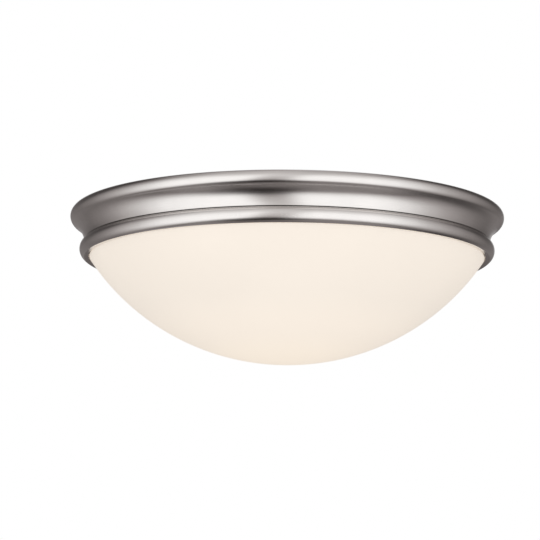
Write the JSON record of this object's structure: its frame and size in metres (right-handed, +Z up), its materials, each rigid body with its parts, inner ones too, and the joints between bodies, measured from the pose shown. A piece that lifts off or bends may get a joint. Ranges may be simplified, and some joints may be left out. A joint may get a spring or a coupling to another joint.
{
  "type": "flush mount ceiling light",
  "caption": "Round flush ceiling light: a satin nickel pan with rolled bands holds an opal glass bowl over two screw-in lamps.",
  "frame": {"origin": "on the light's axis, in the ceiling plane, at the middle of the mounting strap's upper face", "axes": "+Z up into the ceiling along the light's axis; the glass hangs towards -Z; +X along the mounting strap and both lamps, lamp 1 at +Y"},
  "size_m": [0.35, 0.35, 0.1224],
  "materials": {
    "satin_nickel": "satin, fine circular brushing",
    "opal_glass": "opal white, smooth",
    "zinc_plated_steel": "bright zinc plate",
    "spring_steel": "dark, smooth",
    "mineral_wool": "fibrous",
    "black_plastic": "moulded",
    "white_nylon": "moulded",
    "brass": "bright",
    "green_screw": "green dyed plate",
    "tinned_copper": "bright tin plate",
    "green_sleeve": "smooth",
    "black_sleeve": "smooth",
    "white_sleeve": "smooth",
    "porcelain": "glazed, opaque",
    "nickel_plated_cap": "bright nickel plate",
    "solder": "dull",
    "black_glass": "opaque, glossy",
    "white_housing": "moulded",
    "circuit_board": "white solder mask",
    "frosted_plastic": "frosted"
  },
  "bodies": {
    "ceiling_pan": {"pan": "satin_nickel", "mounting_strap": "zinc_plated_steel", "pan_screws": "zinc_plated_steel", "insulation_pad": "mineral_wool", "entry_grommet": "black_plastic", "glass_clips": "spring_steel", "bracket_rivets": "zinc_plated_steel", "terminal_block": "white_nylon", "terminal_barrels": "brass", "terminal_screws": "zinc_plated_steel", "terminal_block_screws": "zinc_plated_steel", "lead_clips": "white_nylon", "earth_screw": "green_screw", "earth_ring_terminal": "tinned_copper", "earth_lead": "green_sleeve", "live_leads": "black_sleeve", "neutral_leads": "white_sleeve", "lampholder_1_bracket": "zinc_plated_steel", "lampholder_1_body": "porcelain", "lampholder_1_screw_shell": "brass", "lampholder_1_contact": "brass", "lampholder_1_screws": "zinc_plated_steel", "lampholder_2_bracket": "zinc_plated_steel", "lampholder_2_body": "porcelain", "lampholder_2_screw_shell": "brass", "lampholder_2_contact": "brass", "lampholder_2_screws": "zinc_plated_steel"},
    "glass": {"glass_bowl": "opal_glass"},
    "bulb_1_travel": {"bulb_1_contact": "solder"},
    "bulb_1": {"bulb_1_screw_base": "nickel_plated_cap", "bulb_1_insulator": "black_glass", "bulb_1_housing": "white_housing", "bulb_1_led_board": "circuit_board", "bulb_1_diffuser": "frosted_plastic"},
    "bulb_2_travel": {"bulb_2_contact": "solder"},
    "bulb_2": {"bulb_2_screw_base": "nickel_plated_cap", "bulb_2_insulator": "black_glass", "bulb_2_housing": "white_housing", "bulb_2_led_board": "circuit_board", "bulb_2_diffuser": "frosted_plastic"}
  },
  "joints": [
    {"name": "glass_drop", "type": "slide", "parent": "ceiling_pan", "child": "glass", "axis": [0, 0, -1], "range_m": [0, 0.1], "deforming": ["glass_clips"]},
    {"name": "bulb_1_out", "type": "slide", "parent": "ceiling_pan", "child": "bulb_1_travel", "axis": [1, 0, 0], "range_m": [0, 0.01453]},
    {"name": "bulb_1_unscrew", "type": "hinge", "parent": "bulb_1_travel", "child": "bulb_1", "pos_m": [-0.086, 0.036, -0.054], "axis": [1, 0, 0], "range_deg": [0, 1440]},
    {"name": "bulb_2_out", "type": "slide", "parent": "ceiling_pan", "child": "bulb_2_travel", "axis": [-1, 0, 0], "range_m": [0, 0.01453]},
    {"name": "bulb_2_unscrew", "type": "hinge", "parent": "bulb_2_travel", "child": "bulb_2", "pos_m": [0.086, -0.036, -0.054], "axis": [-1, 0, 0], "range_deg": [0, 1440]}
  ],
  "couplings": [
    {"joint": "bulb_1_out", "follows": "bulb_1_unscrew", "m_per_rad": 0.00057757},
    {"joint": "bulb_2_out", "follows": "bulb_2_unscrew", "m_per_rad": 0.00057757}
  ]
}
